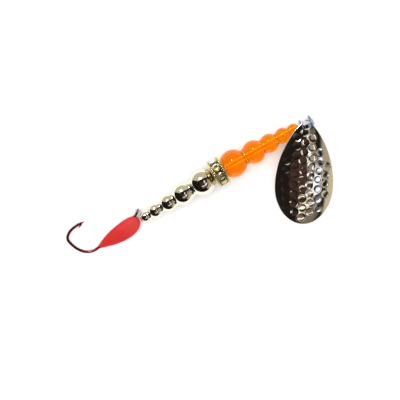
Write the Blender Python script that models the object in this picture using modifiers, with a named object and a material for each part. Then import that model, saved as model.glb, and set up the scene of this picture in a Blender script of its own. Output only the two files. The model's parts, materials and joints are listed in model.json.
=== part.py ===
"""Inline spinner for trout: clevis and blade, two tapered bead stacks, a rondelle and a painted hook.

The lure lies on a table. +X runs forwards along the leader, towards the line, and +Z is up. The origin is the
middle of the bounding box, at table height. Both bead stacks droop from the rondelle to the table, and the
leader bends gently inside the rondelle to follow them. All sizes below are in millimetres.
"""

import math

import bmesh
import bpy
from mathutils import Matrix, Vector

MM = 0.001

# Clearance between pieces that touch, and the radial clearance of a piece moulded onto another
FIT = 0.03

# Bead stacks: five balls moulded as one, largest next to the rondelle
BALL_RADII = (3.77, 3.17, 2.54, 2.12, 1.62)
FRONT_BALL_PLACES = (0.0, 6.31, 11.14, 15.36, 18.58)
REAR_BALL_PLACES = (0.0, 6.04, 10.62, 14.77, 17.86)
NECK_FILLET = 0.85
BORE_RADIUS = 0.45
MOUTH_CHAMFER = 0.15
SMALL_END_CUT = 1.47
FRONT_BIG_END_CUT = 2.70
REAR_BIG_END_CUT = 3.42
FRONT_BIG_BALL_X = 4.59
REAR_BIG_BALL_X = -5.21
FRONT_YAW = math.radians(-0.66)
REAR_YAW = math.radians(1.27)
ARC_STEP = math.radians(15)
STACK_STEPS = 24

# Rondelle: two stamped flanges and a core, with stones set between them
RONDELLE_RADIUS = 4.0
RONDELLE_HALF = 1.58
FLANGE_THICKNESS = 0.42
FLANGE_DISH = 0.1
FLANGE_BORDER = 0.9
FLANGE_LAND = 0.46
FLANGE_STEPS = 32
CORE_STEPS = 24
RONDELLE_BORE = 0.8
CORE_RADIUS = 2.45
STONE_COUNT = 8
STONE_FACETS = 8
STONE_GIRDLE = 1.09
STONE_EDGE = 0.06
STONE_TABLE = 0.64
STONE_CULET = 0.34
STONE_CROWN_HEIGHT = 0.42
STONE_PAVILION_HEIGHT = 0.80
STONE_GIRDLE_PLACE = 3.42

# Leader: nylon monofilament
LEADER_RADIUS = 0.15
LEADER_FRONT_X = 30.1
LEADER_DIP = 0.09
LEADER_LEAD = 1.2
LEADER_MOUTH = 0.25
LEADER_ASIDE = (-0.26, 0.42, 0.0)
LEADER_DOWN = (-0.22, 1.1, -0.02)
LEADER_KNOT_SIDE = (-0.72, -0.69, 0.0)

# Clevis: a folded strap with a round ear at each end
CLEVIS_X = 27.15
EAR_RADIUS = 1.45
EAR_HOLE_RADIUS = 0.6
EAR_THICKNESS = 0.44
STRAP_THICKNESS = 0.4
STRAP_WIDTH = 1.1
CROWN_RADIUS = 1.4
CROWN_HEIGHT = 2.5
CLEVIS_SPIN = math.radians(17)

# Blade: cupped sheet, measured along its long axis from the tip that holds the hole
BLADE_LENGTH = 28.2
BLADE_HALF_WIDTH = 7.85
BLADE_WIDEST = 17.9
BLADE_TAPER_POWER = 0.8
BLADE_CUP = 2.0
BLADE_CUP_CENTRE = 14.1
BLADE_THICKNESS = 0.5
BLADE_HOLE_PLACE = 1.55
BLADE_HOLE_RADIUS = 1.2
BLADE_HOLE_FROM_LEG = 0.8
HOLE_CUTTER_LENGTH = 4.0
HOLE_SEGMENTS = 24
BLADE_HEADING = math.radians(-122.1)
BLADE_PITCH = math.radians(6.2)
BLADE_ROLL = math.radians(-5.0)

# Hook: round wire, measured from the eye's bar, with the shank running back along -X
WIRE_RADIUS = 0.375
EYE_WIRE_RADIUS = 0.3
EYE_RADIUS = 0.8
EYE_ANGLE = math.radians(28)
EYE_REACH = 1.6
EYE_TURN_IN = (0.02, 0.02, 0.12)
EYE_TAPER_RADII = (0.32, 0.35, 0.375)
EYE_SWEEP = (math.radians(-140), math.radians(148))
EYE_STEPS = 18
SHANK_LENGTH = 13.3
LOWER_BEND = (5.05, 6.45)
UPPER_BEND = (3.03, 1.95)
POINT_LENGTH = 3.8
POINT_DROP = 0.68
POINT_CURVE = 1.8
POINT_TIP = 0.06
POINT_TAPER = 1.5
LOWER_BEND_STEPS = 12
UPPER_BEND_STEPS = 7
POINT_STEPS = 8
BARB_ROOT = (-1.1, 0.1, 0.0)
BARB_LEAN = (-1.0, -0.27, 0.0)
BARB_LENGTH = 1.5
BARB_RADIUS = 0.24
BARB_TIP_RADIUS = 0.03
HOOK_YAW = math.radians(10.5)
HOOK_PITCH = math.radians(-3.2)
HOOK_PIVOT = (-23.82, 2.09, 1.48)

# Painted body: a flattened teardrop around the shank, blunt end forwards
BODY_LENGTH = 13.1
BODY_HALF_WIDTH = 2.4
BODY_HALF_THICKNESS = 1.04
BODY_FRONT = 0.02
BODY_OFFSET_FRONT = -1.0
BODY_OFFSET_REAR = -0.05
BODY_BOW = 0.52
BODY_BOW_BLUNT_POWER = 0.8
BODY_BOW_SHARP_POWER = 1.6
BODY_BLUNT_POWER = 0.42
BODY_SHARP_POWER = 0.8
BODY_COLLAR = 0.5
BODY_COLLAR_FULL_AT = 0.5
BODY_FLATTENING = 0.98

# Knot: two turns of the leader cinched round the eye's bar
KNOT_INNER = 0.42
KNOT_OUTER = 0.70
KNOT_WAIST = 0.07
KNOT_HALF = 0.28
KNOT_SECTION = ((0.15, 0.28), (0.02, 0.22), (0.0, 0.14))
KNOT_STEPS = 20


def clear_scene():
    for obj in list(bpy.data.objects):
        bpy.data.objects.remove(obj)


def make_collection(name):
    collection = bpy.data.collections.new(name)
    bpy.context.scene.collection.children.link(collection)
    return collection


def make_material(name, colour, roughness, metallic):
    material = bpy.data.materials.new(name)
    material.use_nodes = True
    shader = material.node_tree.nodes["Principled BSDF"]
    shader.inputs["Base Color"].default_value = (*colour, 1.0)
    shader.inputs["Roughness"].default_value = roughness
    shader.inputs["Metallic"].default_value = metallic
    return material


def add_part(name, data, material, parent, matrix=Matrix.Identity(4)):
    """Links a named part whose place is given in its parent's frame."""
    part = bpy.data.objects.new(name, data)
    PARTS.objects.link(part)
    data.materials.append(material)
    part.parent = parent
    part.matrix_basis = matrix
    return part


def add_cutter(name, data, parent=None, matrix=Matrix.Identity(4)):
    cutter = bpy.data.objects.new(name, data)
    CUTTERS.objects.link(cutter)
    cutter.parent = parent
    cutter.matrix_basis = matrix
    cutter.hide_render = True
    cutter.display_type = "WIRE"
    return cutter


def add_guide(name, parent, matrix):
    """Links an empty that carries a joint's axis or a group's place."""
    guide = bpy.data.objects.new(name, None)
    PARTS.objects.link(guide)
    guide.empty_display_size = 2 * MM
    guide.parent = parent
    guide.matrix_basis = matrix
    return guide


def add_boolean(part, cutter, operation):
    modifier = part.modifiers.new(cutter.name, "BOOLEAN")
    modifier.object = cutter
    modifier.operation = operation
    modifier.solver = "EXACT"


def smooth(mesh, angle=40):
    mesh.shade_smooth()
    mesh.set_sharp_from_angle(angle=math.radians(angle))


def line_frame(origin, forward, spin=0.0):
    """A frame with +X along forward and +Z as near to up as it can be, then turned about +X by spin."""
    x = Vector(forward).normalized()
    y = Vector((0, 0, 1)).cross(x).normalized()
    z = x.cross(y)
    turn = Matrix((x, y, z)).transposed().to_4x4()
    return Matrix.Translation(Vector(origin) * MM) @ turn @ Matrix.Rotation(spin, 4, "X")


def along_x():
    """Turns a shape made around Z so that it runs along +X."""
    return Matrix.Rotation(math.radians(90), 4, "Y")


def outline_mesh(name, points, closed=True):
    """A mesh of edges through points (radius, height) in the XZ plane, for a Screw modifier."""
    mesh = bpy.data.meshes.new(name)
    bm = bmesh.new()
    verts = [bm.verts.new((r * MM, 0, z * MM)) for r, z in points]
    for a, b in zip(verts, verts[1:]):
        bm.edges.new((a, b))
    if closed:
        bm.edges.new((verts[-1], verts[0]))
    bm.to_mesh(mesh)
    bm.free()
    return mesh


def add_turned(name, profile, material, parent, matrix, steps, closed=True):
    """A turned piece from a profile that runs down its outer side."""
    part = add_part(name, outline_mesh(name, profile, closed), material, parent, matrix)
    screw = part.modifiers.new("turn", "SCREW")
    screw.steps = steps
    screw.render_steps = steps
    screw.use_merge_vertices = True
    screw.merge_threshold = 0.000001
    screw.use_smooth_shade = True
    return part


def arc(centre, radius, start, end):
    """Points on an arc, in steps of about ARC_STEP, both ends included."""
    count = max(1, math.ceil(abs(end - start) / ARC_STEP))
    angles = [start + (end - start) * i / count for i in range(count + 1)]
    return [(centre[0] + radius * math.cos(a), centre[1] + radius * math.sin(a)) for a in angles]


def neck_centre(place_a, radius_a, place_b, radius_b):
    """Centre of the fillet that touches two balls on their outside, as (distance from axis, height)."""
    gap = place_b - place_a
    reach_a = radius_a + NECK_FILLET
    reach_b = radius_b + NECK_FILLET
    height = (gap**2 + reach_a**2 - reach_b**2) / (2 * gap)
    return math.sqrt(reach_a**2 - height**2), place_a + height


def stack_profile(places, big_end_cut):
    """The closed profile of a bead stack, whose largest ball is centred at height 0."""
    outer = []
    angle = -math.asin(big_end_cut / BALL_RADII[0])
    for i, (place, radius) in enumerate(zip(places, BALL_RADII)):
        if i + 1 < len(places):
            neck = neck_centre(place, radius, places[i + 1], BALL_RADII[i + 1])
            end = math.atan2(neck[1] - place, neck[0])
        else:
            end = math.asin(SMALL_END_CUT / radius)
        outer += arc((0, place), radius, angle, end)
        if i + 1 < len(places):
            angle = math.atan2(neck[1] - places[i + 1], neck[0])
            outer += arc(neck, NECK_FILLET, end - math.pi, angle - math.pi)[1:-1]
    top = places[-1] + SMALL_END_CUT
    mouth = BORE_RADIUS + MOUTH_CHAMFER
    bore = [(mouth, -big_end_cut), (BORE_RADIUS, MOUTH_CHAMFER - big_end_cut)]
    bore += [(BORE_RADIUS, top - MOUTH_CHAMFER), (min(mouth, outer[-1][0] - FIT), top)]
    return outer[::-1] + bore


def flange_profile(side):
    """A flange with a rounded rim. side is 1 for the front flange and -1 for the rear one."""
    outer = RONDELLE_HALF
    inner = outer - FLANGE_THICKNESS
    rim = FLANGE_THICKNESS / 2
    profile = [(RONDELLE_BORE, outer - FLANGE_DISH), (RONDELLE_RADIUS - FLANGE_BORDER, outer - FLANGE_DISH)]
    profile += [(RONDELLE_RADIUS - FLANGE_LAND, outer)]
    profile += arc((RONDELLE_RADIUS - rim, outer - rim), rim, math.pi / 2, -math.pi / 2)
    profile += [(RONDELLE_BORE, inner)]
    if side > 0:
        return profile
    return [(r, -z) for r, z in reversed(profile)]


def stack_droop(places):
    """How far a stack's axis dips when its largest ball and one other rest on the table."""
    pairs = list(zip(places, BALL_RADII))[1:]
    return min(math.asin((BALL_RADII[0] - radius) / place) for place, radius in pairs)


def add_rondelle(parent, gold, stone):
    for name, side in (("rondelle_flange_front", 1), ("rondelle_flange_rear", -1)):
        add_turned(name, flange_profile(side), gold, parent, along_x(), FLANGE_STEPS)
    half = RONDELLE_HALF - FLANGE_THICKNESS - FIT
    core = [(CORE_RADIUS, half), (CORE_RADIUS, -half), (RONDELLE_BORE, -half), (RONDELLE_BORE, half)]
    add_turned("rondelle_core", core, gold, parent, along_x(), CORE_STEPS)
    profile = [(0, STONE_CROWN_HEIGHT), (STONE_TABLE, STONE_CROWN_HEIGHT), (STONE_GIRDLE, STONE_EDGE)]
    profile += [(STONE_GIRDLE, -STONE_EDGE), (STONE_CULET, -STONE_PAVILION_HEIGHT)]
    profile += [(0, -STONE_PAVILION_HEIGHT)]
    for i in range(STONE_COUNT):
        around = Matrix.Rotation(math.radians(360 * (i + 0.5) / STONE_COUNT), 4, "X")
        out = Matrix.Translation((0, 0, STONE_GIRDLE_PLACE * MM))
        facet = Matrix.Rotation(math.pi / STONE_FACETS, 4, "Z")
        name = f"rondelle_crystal_{i + 1}"
        crystal = add_turned(name, profile, stone, parent, around @ out @ facet, STONE_FACETS, closed=False)
        crystal.modifiers["turn"].use_smooth_shade = False


def tube_mesh(name, points, radii, resolution=2):
    """A closed round tube through points, as a mesh. radii holds one radius for each point."""
    curve = bpy.data.curves.new(name, "CURVE")
    curve.dimensions = "3D"
    curve.bevel_depth = MM
    curve.bevel_resolution = resolution
    curve.use_fill_caps = True
    spline = curve.splines.new("POLY")
    spline.points.add(len(points) - 1)
    for target, point, radius in zip(spline.points, points, radii):
        target.co = (*(Vector(point) * MM), 1)
        target.radius = radius
    return mesh_from_curve(name, curve)


def mesh_from_curve(name, curve):
    """The welded mesh of a curve with filled caps."""
    holder = bpy.data.objects.new(name, curve)
    CUTTERS.objects.link(holder)
    bpy.context.view_layer.update()
    evaluated = holder.evaluated_get(bpy.context.evaluated_depsgraph_get())
    mesh = bpy.data.meshes.new_from_object(evaluated)
    bm = bmesh.new()
    bm.from_mesh(mesh)
    bmesh.ops.remove_doubles(bm, verts=bm.verts, dist=0.000001)
    bm.to_mesh(mesh)
    bm.free()
    bpy.data.objects.remove(holder)
    smooth(mesh)
    return mesh


def flat_mesh(name, points, thickness):
    """A plate of the given thickness with a flat outline in the XY plane, as a mesh."""
    curve = bpy.data.curves.new(name, "CURVE")
    curve.dimensions = "2D"
    curve.fill_mode = "BOTH"
    curve.extrude = thickness / 2 * MM
    spline = curve.splines.new("POLY")
    spline.points.add(len(points) - 1)
    for target, (x, y) in zip(spline.points, points):
        target.co = (x * MM, y * MM, 0, 1)
    spline.use_cyclic_u = True
    return mesh_from_curve(name, curve)


def cone_mesh(name, radius_low, radius_high, depth, segments):
    """A capped cone or cylinder around Z, centred on the origin."""
    mesh = bpy.data.meshes.new(name)
    bm = bmesh.new()
    low = radius_low * MM
    high = radius_high * MM
    bmesh.ops.create_cone(bm, cap_ends=True, segments=segments, radius1=low, radius2=high, depth=depth * MM)
    bm.to_mesh(mesh)
    bm.free()
    return mesh


def smooth_route(points, count):
    """Points along a Catmull-Rom curve through the given points, count of them to each stretch."""
    points = [Vector(p) for p in points]
    padded = [2 * points[0] - points[1]] + points + [2 * points[-1] - points[-2]]
    route = []
    for a, b, c, d in zip(padded, padded[1:], padded[2:], padded[3:]):
        for i in range(count):
            t = i / count
            curved = (2 * a - 5 * b + 4 * c - d) * t**2 + (3 * b - a - 3 * c + d) * t**3
            route.append((2 * b + (c - a) * t + curved) / 2)
    return route + [points[-1]]


def eye_direction():
    return Vector((math.cos(EYE_ANGLE), math.sin(EYE_ANGLE), 0))


def shank_start():
    """The shank's front end, where the wire turns into the eye, from the eye's bar."""
    return -EYE_REACH * eye_direction()


def eye_route():
    """The wire of the eye, from its cut end round to the shank."""
    centre = -EYE_RADIUS * eye_direction()
    up = Vector((0, 0, 1))
    first, last = EYE_SWEEP
    angles = [first + (last - first) * i / EYE_STEPS for i in range(EYE_STEPS + 1)]
    loop = [centre + EYE_RADIUS * (math.cos(a) * eye_direction() + math.sin(a) * up) for a in angles]
    turn_in = shank_start() + Vector(EYE_TURN_IN)
    return loop + smooth_route([loop[-1], turn_in, shank_start() - Vector((EYE_RADIUS, 0, 0))], 3)[1:]


def bend_route():
    """The wire of the bend and point, from the end of the straight shank."""
    start = shank_start() - Vector((SHANK_LENGTH, 0, 0))
    points = []
    for i in range(LOWER_BEND_STEPS + 1):
        a = math.pi / 2 * i / LOWER_BEND_STEPS
        points.append(start + Vector((-LOWER_BEND[0] * math.sin(a), LOWER_BEND[1] * (1 - math.cos(a)), 0)))
    back = start + Vector((UPPER_BEND[0] - LOWER_BEND[0], LOWER_BEND[1], 0))
    for i in range(1, UPPER_BEND_STEPS + 1):
        a = math.pi / 2 * i / UPPER_BEND_STEPS
        points.append(back + Vector((-UPPER_BEND[0] * math.cos(a), UPPER_BEND[1] * math.sin(a), 0)))
    top = points[-1]
    for i in range(1, POINT_STEPS + 1):
        t = i / POINT_STEPS
        points.append(top + Vector((POINT_LENGTH * t, -POINT_DROP * t**POINT_CURVE, 0)))
    return points


def bend_radii(points):
    """The wire keeps its size up to the point's taper, then runs out to a fine tip."""
    tip = points[-1]
    return [WIRE_RADIUS * min(1, POINT_TIP + (tip - p).length / POINT_TAPER) for p in points]


def add_hook(parent, steel):
    eye = eye_route()
    bend = bend_route()
    radii = [EYE_WIRE_RADIUS] * (len(eye) - len(EYE_TAPER_RADII)) + list(EYE_TAPER_RADII)
    wire = tube_mesh("hook", eye + bend, radii + bend_radii(bend))
    hook = add_part("hook", wire, steel, parent)
    root = bend[-1] + Vector(BARB_ROOT)
    lean = Vector(BARB_LEAN).normalized()
    barb = cone_mesh("barb", BARB_RADIUS, BARB_TIP_RADIUS, BARB_LENGTH, 8)
    turn = lean.to_track_quat("Z", "Y").to_matrix().to_4x4()
    place = Matrix.Translation((root + lean * BARB_LENGTH / 2) * MM) @ turn
    add_boolean(hook, add_cutter("barb_shape", barb, parent, place), "UNION")
    return eye, bend


def body_width(t):
    """Half width of the painted body as a share of its largest, from blunt end (0) to sharp end (1)."""
    peak = BODY_BLUNT_POWER / (BODY_BLUNT_POWER + BODY_SHARP_POWER)
    largest = peak**BODY_BLUNT_POWER * (1 - peak) ** BODY_SHARP_POWER
    return t**BODY_BLUNT_POWER * (1 - t) ** BODY_SHARP_POWER / largest


def body_offset(t):
    """How far the middle of the painted body lies from the shank, to the point's side."""
    blunt, sharp = BODY_BOW_BLUNT_POWER, BODY_BOW_SHARP_POWER
    peak = blunt / (blunt + sharp)
    bow = BODY_BOW * (t / peak) ** blunt * ((1 - t) / (1 - peak)) ** sharp
    return BODY_OFFSET_FRONT + (BODY_OFFSET_REAR - BODY_OFFSET_FRONT) * t - bow


def body_mesh():
    """A ball drawn out into a flattened teardrop whose sharp end becomes a collar round the shank."""
    mesh = bpy.data.meshes.new("hook_body")
    bm = bmesh.new()
    bmesh.ops.create_uvsphere(bm, u_segments=20, v_segments=22, radius=1)
    for vert in bm.verts:
        t = min(max((1 - vert.co.z) / 2, 0), 1)
        around = Vector((vert.co.x, vert.co.y))
        around = around.normalized() if around.length > 0.0001 else Vector((0, 0))
        share = body_width(t)
        collar = BODY_COLLAR * min(1, t / BODY_COLLAR_FULL_AT) if around.length else 0
        half_width = math.hypot(BODY_HALF_WIDTH * share, collar)
        half_thickness = math.hypot(BODY_HALF_THICKNESS * share, collar) * BODY_FLATTENING
        offset = body_offset(t)
        vert.co = Vector((-BODY_LENGTH * t, offset + half_width * around.x, half_thickness * around.y)) * MM
    bmesh.ops.recalc_face_normals(bm, faces=bm.faces)
    bm.to_mesh(mesh)
    bm.free()
    smooth(mesh, 60)
    return mesh


def add_hook_body(parent, paint, eye, bend):
    front = shank_start() + Vector((BODY_FRONT, 0, 0))
    body = add_part("hook_body", body_mesh(), paint, parent, Matrix.Translation(front * MM))
    route = eye[-9:] + bend[:3]
    channel = tube_mesh("shank_channel", route, [WIRE_RADIUS + 2 * FIT] * len(route))
    add_boolean(body, add_cutter("shank_channel", channel, parent), "DIFFERENCE")


def blade_half_width(x):
    """Half width of the blade at a distance x from its tip."""
    if x < BLADE_WIDEST:
        return BLADE_HALF_WIDTH * (1 - (1 - x / BLADE_WIDEST) ** 2) ** BLADE_TAPER_POWER
    t = (x - BLADE_WIDEST) / (BLADE_LENGTH - BLADE_WIDEST)
    return BLADE_HALF_WIDTH * math.sqrt(max(0, 1 - t**2))


def blade_outline(count=28):
    """The blade's outline, as (distance from the hole, distance to the side)."""
    xs = [BLADE_LENGTH * (1 - math.cos(math.pi * i / count)) / 2 for i in range(count + 1)]
    right = [(x - BLADE_HOLE_PLACE, blade_half_width(x)) for x in xs]
    left = [(x, -y) for x, y in right[-2:0:-1]]
    return right + left


def blade_height(x, y):
    """Height of the blade's middle surface above the hole's centre."""
    along = ((x + BLADE_HOLE_PLACE - BLADE_CUP_CENTRE) / BLADE_CUP_CENTRE) ** 2
    at_hole = ((BLADE_HOLE_PLACE - BLADE_CUP_CENTRE) / BLADE_CUP_CENTRE) ** 2
    return BLADE_CUP * (at_hole - along - (y / BLADE_HALF_WIDTH) ** 2)


def add_blade(parent, matrix, nickel):
    mesh = bpy.data.meshes.new("blade")
    bm = bmesh.new()
    bmesh.ops.create_grid(bm, x_segments=22, y_segments=14, size=0.5)
    for vert in bm.verts:
        x = (vert.co.x + 0.5) * (BLADE_LENGTH + 1) - 0.5 - BLADE_HOLE_PLACE
        y = vert.co.y * (2 * BLADE_HALF_WIDTH + 1)
        vert.co = Vector((x, y, blade_height(x, y))) * MM
    bm.to_mesh(mesh)
    bm.free()
    blade = add_part("blade", mesh, nickel, parent, matrix)
    solidify = blade.modifiers.new("sheet", "SOLIDIFY")
    solidify.thickness = BLADE_THICKNESS * MM
    solidify.offset = 0
    outline = add_cutter("blade_outline", flat_mesh("blade_outline", blade_outline(), 12), blade)
    add_boolean(blade, outline, "INTERSECT")
    punch = cone_mesh("blade_hole", BLADE_HOLE_RADIUS, BLADE_HOLE_RADIUS, HOLE_CUTTER_LENGTH, HOLE_SEGMENTS)
    hole = add_cutter("blade_hole", punch, blade)
    add_boolean(blade, hole, "DIFFERENCE")
    smooth(mesh, 30)


def strap_outline():
    """The clevis strap seen along its width, as (place along the leader, height above it)."""
    outer = CROWN_RADIUS + STRAP_THICKNESS / 2
    inner = CROWN_RADIUS - STRAP_THICKNESS / 2
    centre = (0, CROWN_HEIGHT)
    points = [(outer, 0)] + arc(centre, outer, 0, math.pi) + [(-outer, 0)]
    return points + [(-inner, 0)] + arc(centre, inner, math.pi, 0) + [(inner, 0)]


def add_clevis(parent, metal):
    upright = Matrix.Rotation(math.radians(90), 4, "X")
    strap = flat_mesh("clevis", strap_outline(), STRAP_WIDTH)
    strap.transform(upright)
    clevis = add_part("clevis", strap, metal, parent)
    for name, x in (("front_ear", CROWN_RADIUS), ("rear_ear", -CROWN_RADIUS)):
        disc = cone_mesh(name, EAR_RADIUS, EAR_RADIUS, EAR_THICKNESS, 24)
        ear = add_cutter(name, disc, parent, Matrix.Translation((x * MM, 0, 0)) @ along_x())
        add_boolean(clevis, ear, "UNION")
    bar = cone_mesh("ear_holes", EAR_HOLE_RADIUS, EAR_HOLE_RADIUS, 2 * CROWN_RADIUS + 2, 16)
    add_boolean(clevis, add_cutter("ear_holes", bar, parent, along_x()), "DIFFERENCE")


def add_leader(parent, nylon, front, rear):
    """The leader: through the front stack and clevis, bent inside the rondelle, then tied to the eye."""
    start = front["ball"] + front["way"] * (LEADER_FRONT_X - FRONT_BIG_BALL_X)
    front_mouth = front["ball"] - front["way"] * FRONT_BIG_END_CUT
    rear_mouth = rear["ball"] - rear["way"] * REAR_BIG_END_CUT
    middle = (front_mouth + rear_mouth) / 2 + Vector((0, 0, LEADER_DIP))
    inside = smooth_route([front["ball"], front_mouth, middle, rear_mouth, rear["ball"]], 4)
    tail = rear["ball"] + rear["way"] * (REAR_BALL_PLACES[-1] + SMALL_END_CUT)
    pivot = Vector(HOOK_PIVOT)
    reach = KNOT_OUTER + LEADER_RADIUS / 2 + FIT
    end = pivot + reach * Vector(LEADER_KNOT_SIDE).normalized()
    lead_out = [tail - rear["way"] * LEADER_LEAD, tail - rear["way"] * LEADER_MOUTH + Vector((0, 2 * FIT, 0))]
    lead_out += [tail + Vector(LEADER_ASIDE), tail + Vector(LEADER_DOWN), end]
    route = [start] + inside + smooth_route(lead_out, 5)
    add_part("leader_line", tube_mesh("leader_line", route, [LEADER_RADIUS] * len(route)), nylon, parent)
    upper = [(KNOT_OUTER - inset, height) for inset, height in KNOT_SECTION]
    knot = upper + [(KNOT_OUTER - KNOT_WAIST, 0)] + [(r, -z) for r, z in reversed(upper)]
    knot += [(KNOT_INNER, -KNOT_HALF), (KNOT_INNER, KNOT_HALF)]
    add_turned("hook_knot", knot, nylon, parent, Matrix.Translation(pivot * MM), KNOT_STEPS)


def centre_on_table(root):
    """Moves the whole lure so that the origin is the middle of its box, at the lowest point."""
    bpy.context.view_layer.update()
    graph = bpy.context.evaluated_depsgraph_get()
    corners = []
    for part in PARTS.objects:
        if part.type == "MESH":
            mesh = part.evaluated_get(graph).data
            corners += [part.matrix_world @ v.co for v in mesh.vertices]
    low = Vector([min(c[i] for c in corners) for i in range(3)])
    high = Vector([max(c[i] for c in corners) for i in range(3)])
    root.location = (-(low.x + high.x) / 2, -(low.y + high.y) / 2, -low.z)
    bpy.context.view_layer.update()


def build():
    orange = make_material("orange_bead", (1.0, 0.19, 0.0), 0.12, 0.0)
    chrome = make_material("chrome_bead", (0.82, 0.80, 0.74), 0.06, 1.0)
    gold = make_material("gold_rim", (0.83, 0.62, 0.25), 0.22, 1.0)
    stone = make_material("crystal", (0.85, 0.84, 0.76), 0.05, 0.0)
    nickel = make_material("blade_nickel", (0.78, 0.75, 0.70), 0.12, 1.0)
    clevis_metal = make_material("clevis_nickel", (0.72, 0.74, 0.80), 0.18, 1.0)
    steel = make_material("hook_red", (0.30, 0.02, 0.03), 0.25, 1.0)
    paint = make_material("body_paint", (0.80, 0.05, 0.04), 0.45, 0.0)
    nylon = make_material("nylon", (0.88, 0.90, 0.90), 0.10, 0.0)

    root = add_guide("inline_spinner", None, Matrix.Identity(4))
    front_dip = math.tan(stack_droop(FRONT_BALL_PLACES))
    rear_dip = math.tan(stack_droop(REAR_BALL_PLACES))
    front = {"way": Vector((math.cos(FRONT_YAW), math.sin(FRONT_YAW), -front_dip)).normalized()}
    front["ball"] = Vector((FRONT_BIG_BALL_X, FRONT_BIG_BALL_X * math.sin(FRONT_YAW), BALL_RADII[0]))
    rear = {"way": Vector((-math.cos(REAR_YAW), -math.sin(REAR_YAW), -rear_dip)).normalized()}
    rear["ball"] = Vector((REAR_BIG_BALL_X, REAR_BIG_BALL_X * math.sin(REAR_YAW), BALL_RADII[0]))

    front_axis = add_guide("front_axis", root, line_frame(front["ball"], front["way"]))
    rear_axis = add_guide("rear_axis", root, line_frame(rear["ball"], rear["way"]))
    rondelle_axis = add_guide("rondelle_axis", root, line_frame((0, 0, RONDELLE_RADIUS), (1, 0, 0)))
    front_profile = stack_profile(FRONT_BALL_PLACES, FRONT_BIG_END_CUT)
    rear_profile = stack_profile(REAR_BALL_PLACES, REAR_BIG_END_CUT)
    add_turned("front_bead_stack", front_profile, orange, front_axis, along_x(), STACK_STEPS)
    add_turned("rear_bead_stack", rear_profile, chrome, rear_axis, along_x(), STACK_STEPS)
    add_rondelle(rondelle_axis, gold, stone)

    clevis_place = front["ball"] + front["way"] * (CLEVIS_X - FRONT_BIG_BALL_X)
    clevis_frame = line_frame(clevis_place, front["way"], CLEVIS_SPIN)
    clevis_axis = add_guide("clevis_axis", root, clevis_frame)
    add_clevis(clevis_axis, clevis_metal)
    crown = Matrix.Translation((0, 0, CROWN_HEIGHT * MM))
    swing_axis = add_guide("blade_swing_axis", clevis_axis, crown)
    hole = clevis_frame @ crown @ Vector(((BLADE_HOLE_FROM_LEG - CROWN_RADIUS) * MM, 0, 0))
    turn = Matrix.Rotation(BLADE_HEADING, 4, "Z") @ Matrix.Rotation(BLADE_PITCH, 4, "Y")
    blade_frame = Matrix.Translation(hole) @ turn @ Matrix.Rotation(BLADE_ROLL, 4, "X")
    add_blade(swing_axis, (clevis_frame @ crown).inverted() @ blade_frame, nickel)

    lie = Matrix.Rotation(HOOK_YAW, 4, "Z") @ Matrix.Rotation(HOOK_PITCH, 4, "Y")
    hook_axis = add_guide("hook_axis", root, Matrix.Translation(Vector(HOOK_PIVOT) * MM) @ lie)
    eye, bend = add_hook(hook_axis, steel)
    add_hook_body(hook_axis, paint, eye, bend)
    add_leader(root, nylon, front, rear)
    centre_on_table(root)


clear_scene()
PARTS = make_collection("inline_spinner")
CUTTERS = make_collection("cutters")
build()
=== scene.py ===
import json
import math
import random

import bmesh
import bpy
import numpy as np
from mathutils import Matrix, Vector


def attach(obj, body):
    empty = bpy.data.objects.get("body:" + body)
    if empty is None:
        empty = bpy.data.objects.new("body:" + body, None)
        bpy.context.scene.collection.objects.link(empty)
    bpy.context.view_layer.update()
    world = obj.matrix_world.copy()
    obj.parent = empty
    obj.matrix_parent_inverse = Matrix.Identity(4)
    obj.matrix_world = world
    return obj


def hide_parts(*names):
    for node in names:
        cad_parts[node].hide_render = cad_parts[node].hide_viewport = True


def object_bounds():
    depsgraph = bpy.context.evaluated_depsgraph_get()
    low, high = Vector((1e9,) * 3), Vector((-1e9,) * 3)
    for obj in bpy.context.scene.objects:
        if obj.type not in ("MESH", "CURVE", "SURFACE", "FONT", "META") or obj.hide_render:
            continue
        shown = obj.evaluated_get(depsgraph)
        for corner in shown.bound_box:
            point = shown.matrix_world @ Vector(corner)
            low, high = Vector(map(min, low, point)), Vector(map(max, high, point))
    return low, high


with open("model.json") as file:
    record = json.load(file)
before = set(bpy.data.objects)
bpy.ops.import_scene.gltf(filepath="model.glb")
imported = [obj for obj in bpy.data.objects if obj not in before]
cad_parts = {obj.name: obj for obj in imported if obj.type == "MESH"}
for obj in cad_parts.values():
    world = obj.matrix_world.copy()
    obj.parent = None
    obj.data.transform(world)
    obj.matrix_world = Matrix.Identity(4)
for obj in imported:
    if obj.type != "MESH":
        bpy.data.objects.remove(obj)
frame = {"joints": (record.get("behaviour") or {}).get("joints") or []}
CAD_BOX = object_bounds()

MM = 0.001
ALONG_X = Matrix.Rotation(math.radians(90), 4, "Y")

# Bead stacks, in millimetres
BALL_RADII = (3.77, 3.17, 2.54, 2.12, 1.62)
FRONT_BALL_PLACES = (0.0, 6.31, 11.14, 15.36, 18.58)
REAR_BALL_PLACES = (0.0, 6.04, 10.62, 14.77, 17.86)
NECK_FILLET = 0.85
BORE_RADIUS = 0.45
MOUTH_RADIUS = 0.15
SMALL_END_CUT = 1.47
FRONT_BIG_END_CUT = 2.70
REAR_BIG_END_CUT = 3.42
FRONT_BIG_BALL_X = 4.59
FLASH_HEIGHT = 0.02
FLASH_HALF_ANGLE = math.radians(1.2)
SEAM_COLUMNS = tuple(math.radians(a) for a in (-2.4, -1.2, 1.2, 2.4))
BORE_RIPPLE = 0.03
BORE_TWIST = 5.3
BORE_SWELL = 1.7
BORE_ROWS = 60
NECK_STEP = math.radians(9)
MOUTH_STEP = math.radians(22)
MOUTH_LAND = 0.02

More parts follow.
